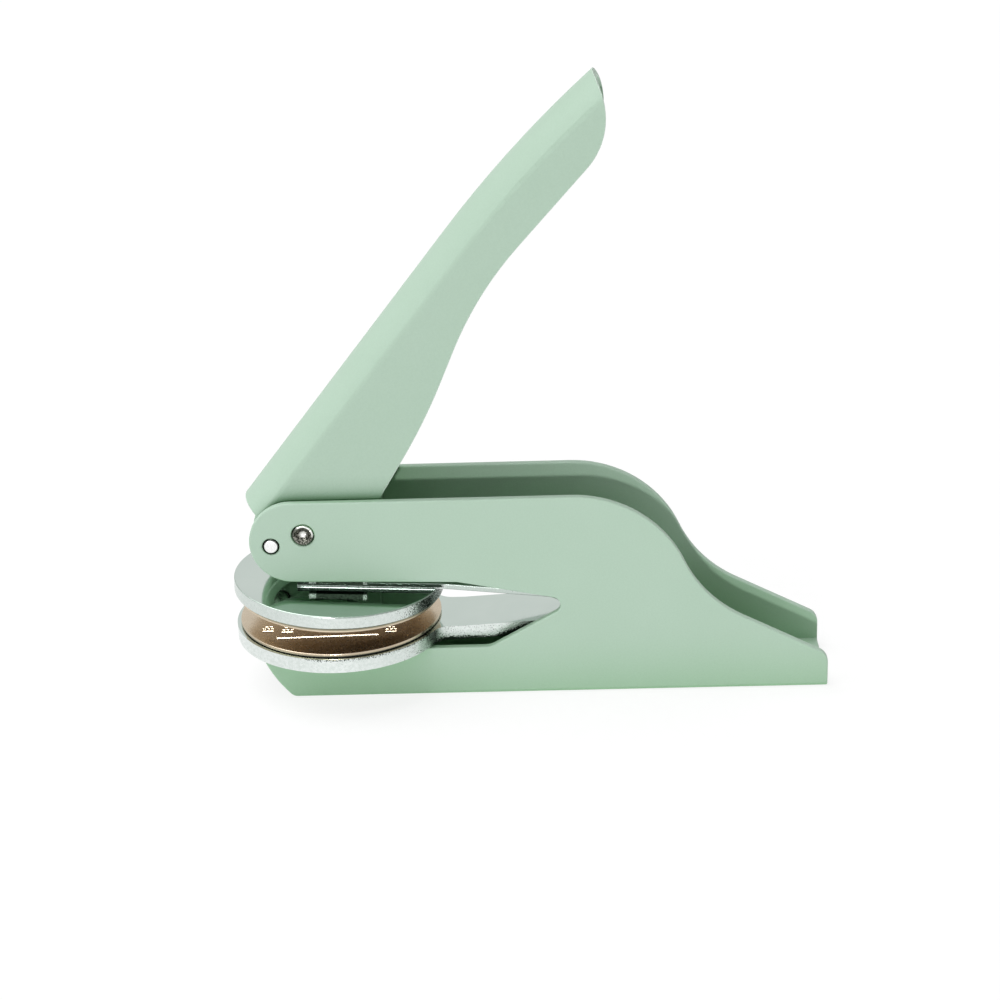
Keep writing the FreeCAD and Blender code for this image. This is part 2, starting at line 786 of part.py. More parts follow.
def spring_arm():
    body = new_body("spring_arm")
    front = jaw_place.multVec(Vector(-d.strip_front, 0, 0))
    path = [
        flat(front.x, front.z),
        flat(strip_bend_x, strip_bend_z),
        flat(d.tail_bend, tail_strip_bottom),
        flat(d.tail_end, tail_strip_bottom),
    ]
    strip = new_sketch(body, "strip", "XZ_Plane", thickened(path, d.strip_thick))
    pad(body, strip, "dims.arm_width", both_ways=True)
    half_arm = d.arm_width / 2
    soften(body, "Fillet", "dims.arm_corner", lambda edge: upright_edge(edge, d.tail_end, half_arm))
    tail_holes(body)
    rivets = [flat(x, 0) for x in arm_rivet_places]
    bore = "dims.arm_rivet_radius + dims.hole_gap"
    pocket_through(body, circles_sketch(body, "arm_rivet_holes", "XY_Plane", rivets, bore, jaw_place))
    return body


def press_plate():
    body = new_body("press_plate", in_jaw(0, d.strip_thick))
    side = d.arm_width / 2 + d.press_plate_side
    edges = rectangle(-d.press_plate_front, d.press_plate_back, -side, side)
    pad(body, new_sketch(body, "plate", "XY_Plane", edges), "dims.press_plate_thick")
    return body


def rivet(name, radius, length, place):
    """Flush below, with a low head above."""
    shank = cylinder(f"{name}_shank", radius, length, place)
    head_place = place.multiply(raised(length))
    wide = f"{radius} + dims.rivet_head_lap"
    head = cone(f"{name}_head", wide, radius, "dims.rivet_head_rise", head_place)
    return fused(name, [shank, head])


def arm_rivets():
    length = d.upper_plate_thick + d.strip_thick
    return grouped("arm_rivets", [
        rivet(f"arm_rivet_{index}", "dims.arm_rivet_radius", length, in_jaw(x, -d.upper_plate_thick))
        for index, x in enumerate(arm_rivet_places)
    ])


def tail_rivets():
    length = tail_strip_top - tail_plate_bottom
    return grouped("tail_rivets", [
        rivet(f"tail_rivet_{index}", "dims.tail_rivet_radius", length, upright(x, tail_plate_bottom))
        for index, x in enumerate(tail_rivet_places)
    ])


def tail_spacer():
    body = new_body("tail_spacer")
    half_arm = d.arm_width / 2
    edges = rectangle(d.tail_bend, d.tail_end, -half_arm, half_arm)
    block = new_sketch(body, "block", "XY_Plane", edges, raised(tail_plate_top))
    pad(body, block, tail_strip_bottom - tail_plate_top)
    soften(body, "Fillet", "dims.arm_corner", lambda edge: upright_edge(edge, d.tail_end, half_arm))
    tail_holes(body)
    return body


# Post and screws that hold the clip in the frame


def clip_post():
    post = cylinder("post_outside", "dims.post_radius", post_height, upright(tail_middle, d.channel_sheet))
    bore_place = upright(tail_middle, d.channel_sheet - d.overrun)
    bore = cylinder("post_bore", "dims.screw_radius + dims.hole_gap", post_height + 2 * d.overrun, bore_place)
    return cut("clip_post", post, [bore])


def driver_slot(name, width_across, low):
    """Bar that cuts the slot of a screw's head, from a height upwards."""
    bar = doc.addObject("Part::Box", name)
    place = Placement(Vector(tail_middle - width_across / 2, -d.screw_slot_width / 2, low), Rotation())
    height = d.screw_slot_depth + d.overrun
    return bind(bar, Length=width_across, Width="dims.screw_slot_width", Height=height, Placement=place)


def clip_screw():
    low = tail_plate_bottom - screw_depth
    shank = cylinder("clip_shank", "dims.screw_radius", tail_strip_top - low, upright(tail_middle, low))
    head_radius = "dims.screw_radius + dims.screw_head_lap"
    head = cylinder("clip_head", head_radius, "dims.screw_head_rise", upright(tail_middle, tail_strip_top))
    head_width = 2 * (d.screw_radius + d.screw_head_lap + d.overrun)
    slot_low = tail_strip_top + d.screw_head_rise - d.screw_slot_depth
    slot = driver_slot("clip_slot", head_width, slot_low)
    return cut("clip_screw", fused("clip_screw_blank", [shank, head]), [slot])


def base_screw():
    low = d.base_head_inset
    length = d.channel_sheet + screw_depth - low
    shank = cylinder("base_shank", "dims.screw_radius", length, upright(tail_middle, low))
    wide = "dims.screw_radius + dims.base_head_lap"
    head = cone("base_head", wide, "dims.screw_radius", "dims.base_head_lap", upright(tail_middle, low))
    head_width = 2 * (d.screw_radius + d.base_head_lap + d.overrun)
    slot = driver_slot("base_slot", head_width, low - d.overrun)
    return cut("base_screw", fused("base_screw_blank", [shank, head]), [slot])


subparts = [
    frame_channel(),
    pivot_rivet(),
    pivot_washers(),
    stop_pin(),
    lever_shell(),
    pivot_bush(),
    lower_plate(),
    round_layer("lower_die_pad", upright(0, lower_plate_top), pad_radius, "dims.lower_pad_thick"),
    die("lower_die", upright(0, lower_die_bottom)),
    upper_disc(),
    round_layer("upper_die_pad", in_jaw(0, upper_pad_low), pad_radius, "dims.upper_pad_thick"),
    die("upper_die", in_jaw(0, upper_pad_low - d.die_thick)),
    spring_arm(),
    arm_rivets(),
    press_plate(),
    tail_spacer(),
    tail_rivets(),
    clip_post(),
    clip_screw(),
    base_screw(),
]

# Check everything, then write one file for each sub-part

doc.recompute()
failed = [item.Name for item in doc.Objects if "Invalid" in item.State or "Error" in item.State]
if failed:
    raise RuntimeError(f"failed objects: {failed}")
for item in subparts:
    if item.Shape.isNull() or not item.Shape.isValid():
        raise RuntimeError(f"{item.Label} has no valid shape")

os.makedirs("parts", exist_ok=True)
for item in subparts:
    item.Shape.exportStep(f"parts/{item.Label}.step")
    box = item.Shape.BoundBox
    print(
        f"{item.Label}: {len(item.Shape.Solids)} solid, volume {item.Shape.Volume:.1f},"
        f" X {box.XMin:.2f} {box.XMax:.2f}, Y {box.YMin:.2f} {box.YMax:.2f}, Z {box.ZMin:.2f} {box.ZMax:.2f}"
    )
print(f"lever hinge at X {pivot_x:.3f}, Z {pivot_z:.3f}")
print(f"jaw hinge at X {jaw_hinge_x:.3f}, Z {jaw_hinge_z:.3f}")
print(f"the jaw turns {jaw_ratio:.5f} times as far as the lever")
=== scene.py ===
import math
import bpy
import numpy as np
from mathutils import Matrix, Vector

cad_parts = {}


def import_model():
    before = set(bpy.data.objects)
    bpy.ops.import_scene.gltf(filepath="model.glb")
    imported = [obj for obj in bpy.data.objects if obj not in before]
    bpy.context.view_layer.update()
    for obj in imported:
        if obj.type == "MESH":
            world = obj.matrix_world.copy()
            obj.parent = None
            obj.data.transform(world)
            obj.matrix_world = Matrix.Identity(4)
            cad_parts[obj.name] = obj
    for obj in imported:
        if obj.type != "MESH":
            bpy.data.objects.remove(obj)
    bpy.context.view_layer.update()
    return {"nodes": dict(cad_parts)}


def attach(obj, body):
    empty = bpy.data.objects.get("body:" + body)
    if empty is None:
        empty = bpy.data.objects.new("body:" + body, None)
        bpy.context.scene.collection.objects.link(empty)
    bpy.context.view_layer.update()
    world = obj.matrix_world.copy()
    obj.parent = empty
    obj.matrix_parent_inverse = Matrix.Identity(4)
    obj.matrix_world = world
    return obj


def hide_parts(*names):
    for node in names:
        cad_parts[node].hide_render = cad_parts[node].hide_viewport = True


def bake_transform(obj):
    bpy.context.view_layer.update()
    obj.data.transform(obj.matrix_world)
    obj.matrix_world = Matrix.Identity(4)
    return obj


# Looks of the seal embosser: finishes for the parts of the frame, and pieces of finer
# shape for the spring strip, the pins and the face of the lower die.
#
# Metres and radians, in the frame of the model: the origin lies on the resting surface
# under the centre of the lower die, X runs from the nose to the tail, Z up. Profiles,
# outlines and places given as pairs are in millimetres.

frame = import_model()
nodes = frame["nodes"]

MM = 0.001


# Shader nodes


# Parts of a noise's range that are spread over 0 to 1
SOFT = (0.3, 0.7)
FIRM = (0.35, 0.65)

# Sockets of a Mix node that is set to colour
MIX_COLOURS = (6, 7)
MIX_RESULT = 2


def shader(name, **inputs):
    """New material with values on the sockets of its Principled shader."""
    material = bpy.data.materials.new(name)
    material.use_nodes = True
    for socket, value in inputs.items():
        surface(material).inputs[socket.replace("_", " ")].default_value = value
    return material


def surface(material):
    """Principled shader of a material."""
    return material.node_tree.nodes["Principled BSDF"]


def link(material, socket, value):
    """Lead a value into a socket of a material's shader."""
    material.node_tree.links.new(value, surface(material).inputs[socket])


def add(tree, kind, settings=None, **inputs):
    """New node, whose inputs are values or the outputs of other nodes.

    An input goes by its socket's name, or by an underscore and its number.
    """
    node = tree.nodes.new(f"ShaderNode{kind}")
    for name, value in (settings or {}).items():
        setattr(node, name, value)
    for name, value in inputs.items():
        key = int(name[1:]) if name[1:].isdigit() else name.replace("_", " ")
        if isinstance(value, bpy.types.NodeSocket):
            tree.links.new(value, node.inputs[key])
        else:
            node.inputs[key].default_value = value
    return node


def reckon(tree, operation, first, second):
    """Result of a sum on two values."""
    return add(tree, "Math", {"operation": operation}, _0=first, _1=second).outputs["Value"]


def absolute(tree, value):
    return add(tree, "Math", {"operation": "ABSOLUTE"}, _0=value).outputs["Value"]


def dot(tree, first, second):
    """Dot product of two vectors."""
    operation = {"operation": "DOT_PRODUCT"}
    return add(tree, "VectorMath", operation, _0=first, _1=second).outputs["Value"]


def span(tree, value, low, high, start=0.0, end=1.0):
    """Value moved from one range to another and kept within it."""
    ends = {"From_Min": low, "From_Max": high, "To_Min": start, "To_Max": end}
    return add(tree, "MapRange", Value=value, **ends).outputs["Result"]


def ramp(tree, value, places, start=0.0, end=1.0):
    """The same for a length, whose first range is two places in millimetres."""
    low, high = places
    return span(tree, value, low * MM, high * MM, start, end)


def between(tree, factor, first, second):
    """Value between two values."""
    return add(tree, "Mix", _0=factor, _2=first, _3=second).outputs[0]


def mixed(tree, factor, first, second, blend="MIX"):
    """Colour between two colours, or a first one into which a second is blended."""
    node = add(tree, "Mix", {"data_type": "RGBA", "blend_type": blend}, _0=factor)
    for index, colour in zip(MIX_COLOURS, (first, second)):
        if isinstance(colour, bpy.types.NodeSocket):
            tree.links.new(colour, node.inputs[index])
        else:
            node.inputs[index].default_value = (*colour, 1)
    return node.outputs[MIX_RESULT]


def place(tree, stretch=(1, 1, 1)):
    """Position on the object, in metres, squeezed along its axes."""
    coordinates = add(tree, "TexCoord").outputs["Object"]
    return add(tree, "Mapping", Vector=coordinates, Scale=stretch).outputs["Vector"]


def along(tree, axis):
    """Place along one axis of the model, in metres."""
    return add(tree, "SeparateXYZ", Vector=place(tree)).outputs[axis]


def noise(tree, grain, stretch=(1, 1, 1), detail=2):
    """Noise from 0 to 1 whose blotches are about as wide as the grain."""
    texture = add(tree, "TexNoise", Vector=place(tree, stretch), Scale=1 / grain, Detail=detail)
    return texture.outputs["Fac"]


def bump(tree, height, depth, normal=None):
    """Normal of a surface that rises by the depth where the height is 1."""
    node = add(tree, "Bump", Height=height, Distance=depth, Strength=1.0)
    if normal:
        tree.links.new(normal, node.inputs["Normal"])
    return node.outputs["Normal"]


def true_normal(tree):
    return add(tree, "NewGeometry").outputs["Normal"]


def levelness(tree):
    """0 on upright faces, 1 on level ones."""
    return absolute(tree, add(tree, "SeparateXYZ", Vector=true_normal(tree)).outputs["Z"])


# Green coat


COAT_TONES = ((0.425, 0.572, 0.458), (0.445, 0.590, 0.480))
COAT_GRAIN = ((0.418, 0.562, 0.450), (0.452, 0.600, 0.486))
# The next colour is a painted highlight, laid over rounded edges
COAT_EDGE_HIGHLIGHT = (0.62, 0.75, 0.65)
COAT_ROUGHNESS = (0.40, 0.50)
COAT_RELIEF = 0.012 * MM
PATCH_SIZE = 14 * MM
GRAIN_SIZE = 0.35 * MM

# Edges are shaded as if rounded to this radius, and take a pale painted highlight where that
# normal leaves the face's own: from the first dot product of the two to the second
EDGE_RADIUS = 0.35 * MM
EDGE_BEND = (0.995, 0.93)

# Reach and tint of the painted shade in nooks, and how open they are where it is full and where it
# ends
NOOK_SHADE = (25 * MM, (0.62, 0.80, 0.60), 0.30, 0.80)
# The same for the painted shade where another part all but touches the coat
CONTACT_SHADE = (5 * MM, (0.28, 0.42, 0.30), 0.40, 0.97)

# Rays that the Bevel and Ambient Occlusion nodes send out
NEARBY_RAYS = {"samples": 8}


def shaded(tree, colour, reach, tint, shut, clear):
    """Colour darkened by painted shade where other surfaces within the reach leave less than the
    value clear open.
    """
    unblocked = add(tree, "AmbientOcclusion", NEARBY_RAYS, Distance=reach).outputs["AO"]
    return mixed(tree, span(tree, unblocked, shut, clear, 1.0, 0.0), colour, tint, "MULTIPLY")


def scaled(colour, level):
    return tuple(level * part for part in colour)


def powder_coat(name, level, contact_shade):
    """Matt light green coat with a fine grain, a painted highlight over rounded edges and painted
    shade in nooks.

    The level scales its tones, and one below 1 paints shade over the whole coat; the last
    argument says whether it takes painted shade also where another part all but touches it.
    """
    material = shader(name, Specular_IOR_Level=0.2)
    tree = material.node_tree
    patches = span(tree, noise(tree, PATCH_SIZE), *SOFT)
    grain = noise(tree, GRAIN_SIZE, detail=3)
    tone = mixed(tree, patches, *(scaled(colour, level) for colour in COAT_TONES))
    specks = span(tree, grain, *FIRM)
    fine = mixed(tree, specks, *(scaled(colour, level) for colour in COAT_GRAIN))
    edge = add(tree, "Bevel", NEARBY_RAYS, Radius=EDGE_RADIUS).outputs["Normal"]
    # Painted highlight: the coat turns pale where the rounded normal leaves the face's own
    edge_highlight = span(tree, dot(tree, edge, true_normal(tree)), *EDGE_BEND)
    coat = mixed(tree, edge_highlight, mixed(tree, 0.5, tone, fine), COAT_EDGE_HIGHLIGHT)
    # Painted shade in nooks, and where asked also where parts all but touch
    coat = shaded(tree, coat, *NOOK_SHADE)
    if contact_shade:
        coat = shaded(tree, coat, *CONTACT_SHADE)
    link(material, "Base Color", coat)
    link(material, "Roughness", span(tree, grain, *SOFT, *COAT_ROUGHNESS))
    link(material, "Normal", bump(tree, grain, COAT_RELIEF, edge))
    return material


# Bright plate


# Black that stands for the sides' specks and for their painted shade
SPECK_AND_SHADE_BLACK = (0.030, 0.045, 0.034)
PLATE_CLEAN = ((0.69, 0.745, 0.715), (0.80, 0.845, 0.825))
PLATE_SHADE_GREY = (0.52, 0.59, 0.55)
# Grey that a side is painted as shade
PLATE_FACE = ((0.485, 0.557, 0.515), (0.510, 0.580, 0.537))
# The grey over the rounded edge between side and face is a painted shade that dims its glint
PLATE_EDGE_SHADE = (0.30, 0.36, 0.32)
FACE_ROUGHNESS = (0.05, 0.09)
SIDE_ROUGHNESS = (0.24, 0.36)
EDGE_ROUGHNESS = 0.5

# Levelness up to which a surface counts as a side, from which as a face, and that of an
# edge's middle with how far its darker painted shade reaches from there
SIDE_LEVEL, FACE_LEVEL = 0.55, 0.85
EDGE_LEVEL, EDGE_REACH = 0.65, (0.12, 0.30)

# Sizes of the patterns on a plate, its relief, and the parts of that which the ripple of
# its faces and the shearing of its sides take up
SPECKLE_SIZE = 0.2 * MM
MOTTLE_SIZE = 0.6 * MM
POLISH_SIZE = 1.2 * MM
RIPPLE_SIZE = 5 * MM
CLOUD_SIZE = 9 * MM
PLATE_RELIEF = 0.05 * MM
RIPPLE_PART, SHEARED_PART = 0.04, 0.25

# Speckle below which a side is black, at none and at the full amount of black specks and
# painted shade, and how far below and above that value the edge of a speck reaches
SPECK_LIMITS = (0.24, 0.76)
SPECK_EDGE = (-0.02, 0.04)


def specked(tree, speckle, specks_and_shade, clean):
    """Colour that is clean at 0 and black at 1, with specks between; the black is specks and
    painted shade.
    """
    limit = span(tree, specks_and_shade, 0.0, 1.0, *SPECK_LIMITS)
    bare = span(tree, reckon(tree, "SUBTRACT", speckle, limit), *SPECK_EDGE)
    return mixed(tree, bare, SPECK_AND_SHADE_BLACK, clean)


def bright_plate(name, specks_and_shade, painted_grey):
    """Polished plate whose upright sides carry black specks and painted shade, and a painted grey
    shade in places.
    """
    material = shader(name, Metallic=1.0)
    tree = material.node_tree
    level = levelness(tree)
    side = span(tree, level, SIDE_LEVEL, FACE_LEVEL, 1.0, 0.0)
    speckle = noise(tree, SPECKLE_SIZE, detail=3)
    mottle = span(tree, noise(tree, MOTTLE_SIZE, detail=3), *FIRM)
    clean = mixed(tree, painted_grey(tree), mixed(tree, mottle, *PLATE_CLEAN), PLATE_SHADE_GREY)
    cut = specked(tree, speckle, specks_and_shade(tree), clean)
    face = mixed(tree, span(tree, noise(tree, CLOUD_SIZE), *SOFT), *PLATE_FACE)
    # Painted shade over the rounded edge between side and face
    from_edge = absolute(tree, reckon(tree, "SUBTRACT", level, EDGE_LEVEL))
    edge = span(tree, from_edge, *EDGE_REACH, 1.0, 0.0)
    link(material, "Base Color", mixed(tree, edge, mixed(tree, side, face, cut), PLATE_EDGE_SHADE))
    smooth = span(tree, noise(tree, POLISH_SIZE), *SOFT, *FACE_ROUGHNESS)
    rough = span(tree, speckle, *SOFT, *SIDE_ROUGHNESS)
    either = between(tree, side, smooth, rough)
    link(material, "Roughness", between(tree, edge, either, EDGE_ROUGHNESS))
    ripple = reckon(tree, "MULTIPLY", noise(tree, RIPPLE_SIZE), RIPPLE_PART)
    sheared = reckon(tree, "MULTIPLY", mottle, SHEARED_PART)
    relief = between(tree, side, ripple, sheared)
    link(material, "Normal", bump(tree, relief, PLATE_RELIEF))
    return material


# Where the plates' sides change along X

DISC_NOSE = (-19, -6)
DISC_BACK = (11, 18)
RIM_MIDDLE = (-9, -4)
RIM_RIGHT = (1, 19)
RIM_BACK = (11, 19)
ARM_ROOT = (19, 22)
ARM_CLEAN = (21, 25)
ARM_CLIMB = (32.5, 42.5)
ARM_TIP = (42, 44)
STRIP_LEAVES_DISC = (21.5, 23)

# Where they change in height: under the die, between the arm's white and its black painted shade,
# and between the strip's likewise; the arm has climbed and the strip falls along X

UNDER_DIE = (13.3, 14.2)
ARM_SHADE_ENDS = (11.3, 12.3)
ARM_RISE = 3.65
STRIP_SHADE_STARTS = (24.08, 24.20)
STRIP_FALL = 0.0471

# How far the sides are black with specks and painted shade, from clean at 0 to black at 1

DISC_BACK_SHADE = 0.60
UNDER_DIE_SPECKS = 0.56
RIM_BACK_SHADE = 0.42
ARM_TOP_SPECKS = 0.24
STRIP_SPECKS_AND_SHADE = (0.20, 0.90)

# How far they are painted grey as shade, from bright at 0 and below; the last is a factor on the
# rim's

DISC_SHADE_GREY = (0.55, 0.30)
RIM_SHADE_GREY = 0.35
ARM_SHADE_GREY = (1.0, -0.35)


def disc_back_shade(tree):
    """The upper disc's rim is clean but for its back, which is specked black as painted shade."""
    return ramp(tree, along(tree, "X"), DISC_BACK, 0.0, DISC_BACK_SHADE)


def disc_shade_grey(tree):
    """The upper disc's rim is painted greyer towards the nose, as shade."""
    return ramp(tree, along(tree, "X"), DISC_NOSE, *DISC_SHADE_GREY)


def lower_specks_and_shade(tree):
    """The lower plate: specks under the die, painted shade at the back of its rim, and an arm that
    is white above and black below, the black a painted shadow of the slot's lower edge.
    """
    x = along(tree, "X")
    climb = ramp(tree, x, ARM_CLIMB, 0.0, ARM_RISE * MM)
    height = reckon(tree, "SUBTRACT", along(tree, "Z"), climb)
    under_die = ramp(tree, height, UNDER_DIE, 0.0, UNDER_DIE_SPECKS)
    rim = reckon(tree, "MULTIPLY", under_die, ramp(tree, x, RIM_MIDDLE))
    rim = reckon(tree, "MAXIMUM", rim, ramp(tree, x, RIM_BACK, 0.0, RIM_BACK_SHADE))
    # The arm's black below is a painted shadow of the slot's lower edge, climbing with it
    arm = ramp(tree, height, ARM_SHADE_ENDS, 1.0, ARM_TOP_SPECKS)
    arm = reckon(tree, "MINIMUM", arm, ramp(tree, x, ARM_TIP, 1.0, ARM_TOP_SPECKS))
    return between(tree, ramp(tree, x, ARM_ROOT), rim, arm)


def lower_shade_grey(tree):
    """The lower plate is painted greyest, as shade, where its rim runs into its arm, and brightest
    on the arm.
    """
    x = along(tree, "X")
    rim = ramp(tree, x, RIM_RIGHT, 0.0, RIM_SHADE_GREY)
    return reckon(tree, "MULTIPLY", rim, ramp(tree, x, ARM_CLEAN, *ARM_SHADE_GREY))


def on_disc(tree):
    """1 where the strip lies on the disc, 0 behind it."""
    return ramp(tree, along(tree, "X"), STRIP_LEAVES_DISC, 1.0, 0.0)


def strip_shade(tree):
    """On the disc the strip's sheared edge is white below and black above, the black painted shade.
    """
    fall = reckon(tree, "MULTIPLY", along(tree, "X"), STRIP_FALL)
    height = reckon(tree, "ADD", along(tree, "Z"), fall)
    sheared = ramp(tree, height, STRIP_SHADE_STARTS, *STRIP_SPECKS_AND_SHADE)
    return reckon(tree, "MULTIPLY", sheared, on_disc(tree))


def strip_shade_grey(tree):
    """The strip's edge is painted a smooth grey behind the disc, as shade."""
    return reckon(tree, "SUBTRACT", 1.0, on_disc(tree))


# Other finishes


PRESS_PLATE_FRONT = (-4.2, -4.0)
PRESS_PLATE_BACK = (5.6, 5.8)
DARK_PLATE_TONES = ((0.020, 0.030, 0.022), (0.055, 0.075, 0.055))
BRIGHT_END_TONES = ((0.24, 0.29, 0.25), (0.40, 0.45, 0.41))


def press_plate_finish(name):
    """Dark steel that is bright at its two ends."""
    material = shader(name, Metallic=1.0)
    tree = material.node_tree
    x = along(tree, "X")
    ahead = ramp(tree, x, PRESS_PLATE_FRONT, 1.0, 0.0)
    ends = reckon(tree, "MAXIMUM", ahead, ramp(tree, x, PRESS_PLATE_BACK))
    grain = span(tree, noise(tree, 0.25 * MM, detail=3), *FIRM)
    dark_tone, end_tone = mixed(tree, grain, *DARK_PLATE_TONES), mixed(tree, grain, *BRIGHT_END_TONES)
    link(material, "Base Color", mixed(tree, ends, dark_tone, end_tone))
    link(material, "Roughness", span(tree, grain, 0.0, 1.0, 0.25, 0.42))
    link(material, "Normal", bump(tree, grain, 0.01 * MM))
    return material


def bronze(name, tones, roughness):
    """Bronze with faint turning marks, between two tones and between two values of roughness."""
    material = shader(name, Metallic=1.0)
    tree = material.node_tree
    cloud = span(tree, noise(tree, 4 * MM), *SOFT)
    link(material, "Base Color", mixed(tree, cloud, *tones))
    marks = noise(tree, 0.5 * MM, detail=3)
    link(material, "Roughness", span(tree, marks, *SOFT, *roughness))
    link(material, "Normal", bump(tree, marks, 0.002 * MM))
    return material


RUBBER_TONES = ((0.010, 0.010, 0.010), (0.024, 0.024, 0.022))


def rubber(name):
    """Dull black pad."""
    material = shader(name)
    tree = material.node_tree
    grain = noise(tree, 0.4 * MM)
    link(material, "Base Color", mixed(tree, grain, *RUBBER_TONES))
    link(material, "Roughness", span(tree, grain, *SOFT, 0.65, 0.85))
    link(material, "Normal", bump(tree, grain, 0.03 * MM))
    return material


def turned_steel(name, colour):
    """Turned steel with fine marks."""
    material = shader(name, Metallic=1.0)
    tree = material.node_tree
    marks = noise(tree, 0.3 * MM, (1, 0.3, 1), 3)
    tone = mixed(tree, span(tree, marks, *SOFT), scaled(colour, 0.8), colour)
    link(material, "Base Color", tone)
    link(material, "Roughness", span(tree, marks, *SOFT, 0.16, 0.30))
    link(material, "Normal", bump(tree, marks, 0.006 * MM))
    return material


def round_axis(tree, centre):
    """Place measured from an axis along Y, with nothing along it."""
    middle = (centre[0] * MM, 0, centre[1] * MM)
    moved = add(tree, "VectorMath", {"operation": "SUBTRACT"}, _0=place(tree), _1=middle)
    across = moved.outputs["Vector"]
    flattened = add(tree, "VectorMath", {"operation": "MULTIPLY"}, _0=across, _1=(1, 0, 1))
    return flattened.outputs["Vector"]


def from_axis(tree, spot):
    """Distance from the axis."""
    return add(tree, "VectorMath", {"operation": "LENGTH"}, _0=spot).outputs["Value"]


# Distances from the rivet's axis at which its painted highlight in the middle and its dimple end,
# and those along the direction that its light comes from at which its rim turns from painted shade
# to a painted highlight
DIMPLE_MIDDLE = (0.35, 0.9)
DIMPLE_RIM = (1.78, 1.9)
RIM_HIGHLIGHT_SPAN = (0.5, 1.1)
HIGHLIGHT_FROM = (0.5, 0, 0.86)
PIT_RANGE = (0.46, 0.60)
# Colours of the painted highlight in the middle, of the dimple's painted shade, and of the rim from
# painted shade to painted highlight
RIVET_MIDDLE_HIGHLIGHT = (0.85, 0.85, 0.82)
DIMPLE_SHADE_TONES = ((0.035, 0.038, 0.030), (0.30, 0.30, 0.26))
RIM_SHADE_AND_HIGHLIGHT_TONES = ((0.10, 0.11, 0.09), (0.85, 0.86, 0.83))


def rivet_finish(name, centre):
    """Rim with a painted highlight above and painted shade below, round a pitted dimple in painted
    shade with a painted highlight in its middle.
    """
    material = shader(name, Metallic=1.0)
    tree = material.node_tree
    spot = round_axis(tree, centre)
    radius = from_axis(tree, spot)
    pits = span(tree, noise(tree, 0.35 * MM, detail=3), *PIT_RANGE)
    dimple = mixed(tree, pits, *DIMPLE_SHADE_TONES)
    middle = mixed(tree, ramp(tree, radius, DIMPLE_MIDDLE), RIVET_MIDDLE_HIGHLIGHT, dimple)
    rim = mixed(tree, ramp(tree, dot(tree, spot, HIGHLIGHT_FROM), RIM_HIGHLIGHT_SPAN), *RIM_SHADE_AND_HIGHLIGHT_TONES)
    link(material, "Base Color", mixed(tree, ramp(tree, radius, DIMPLE_RIM), middle, rim))
    link(material, "Roughness", span(tree, pits, 0.0, 1.0, 0.34, 0.20))
    link(material, "Normal", bump(tree, pits, 0.03 * MM))
    return material


# Distance from the pin's axis at which its black collar, painted shade of the gap round the pin,
# starts
PIN_COLLAR = (1.385, 1.40)
PIN_TONES = ((0.84, 0.84, 0.83), (0.98, 0.98, 0.97))
COLLAR_SHADE_BLACK = (0.010, 0.014, 0.010)


def pin_finish(name, centre):
    """Bright pin whose collar is painted black as the shade of the gap round it."""
    material = shader(name, Metallic=1.0)
    tree = material.node_tree
    collar = ramp(tree, from_axis(tree, round_axis(tree, centre)), PIN_COLLAR)
    marks = span(tree, noise(tree, 0.3 * MM, detail=3), *SOFT)
    bright = mixed(tree, marks, *PIN_TONES)
    link(material, "Base Color", mixed(tree, collar, bright, COLLAR_SHADE_BLACK))
    link(material, "Roughness", span(tree, marks, 0.0, 1.0, 0.16, 0.30))
    link(material, "Normal", bump(tree, marks, 0.004 * MM))
    return material


def finish_node(material, *names):
    """Give nodes of the frame a material of this script."""
    for name in names:
        slots = nodes[name].data.materials
        for index in range(len(slots)):
            slots[index] = material


POLISHED_TONES = ((0.50, 0.415, 0.305), (0.55, 0.465, 0.350))
# The upper die's bronze is paler than the lower's: painted light, so that the lower die's face
# reflects it brighter
BRUSHED_PAINTED_LIGHT_TONES = ((0.64, 0.54, 0.41), (0.70, 0.60, 0.46))

steel = turned_steel("turned_steel", (0.66, 0.66, 0.64))
dark_steel = turned_steel("dark_steel", (0.20, 0.22, 0.20))
die_finish = bronze("polished_bronze", POLISHED_TONES, (0.20, 0.30))
brushed_painted_light_bronze = bronze("brushed_painted_light_bronze", BRUSHED_PAINTED_LIGHT_TONES, (0.34, 0.46))
rubber_finish = rubber("black_pad")
strip_finish = bright_plate("strip_plating", strip_shade, strip_shade_grey)
finish_node(powder_coat("frame_coat", 1.0, contact_shade=False), "frame_channel")
# The lever's coat is the frame's green at 0.96, a painted shade that darkens the whole lever
finish_node(powder_coat("lever_coat", 0.96, contact_shade=True), "lever_shell")
finish_node(bright_plate("lower_plating", lower_specks_and_shade, lower_shade_grey), "lower_plate")
finish_node(bright_plate("upper_plating", disc_back_shade, disc_shade_grey), "upper_disc")
finish_node(brushed_painted_light_bronze, "upper_die")
finish_node(rubber_finish, "lower_die_pad", "upper_die_pad")
finish_node(press_plate_finish("dark_plate_bright_ends"), "press_plate")
finish_node(dark_steel, "pivot_bush", "pivot_washers")
finish_node(steel, "arm_rivets", "tail_spacer")
finish_node(steel, "tail_rivets", "clip_post", "clip_screw", "base_screw")


# Shapes


def piece(name, points, faces, material, creased=30):
    """Object from points in millimetres, smooth but for edges sharper than so many degrees."""
    mesh = bpy.data.meshes.new(name)
    mesh.from_pydata([Vector(point) * MM for point in points], [], faces)
    mesh.materials.append(material)
    mesh.shade_smooth()
    mesh.set_sharp_from_angle(angle=math.radians(creased))
    thing = bpy.data.objects.new(name, mesh)
    bpy.context.scene.collection.objects.link(thing)
    return thing


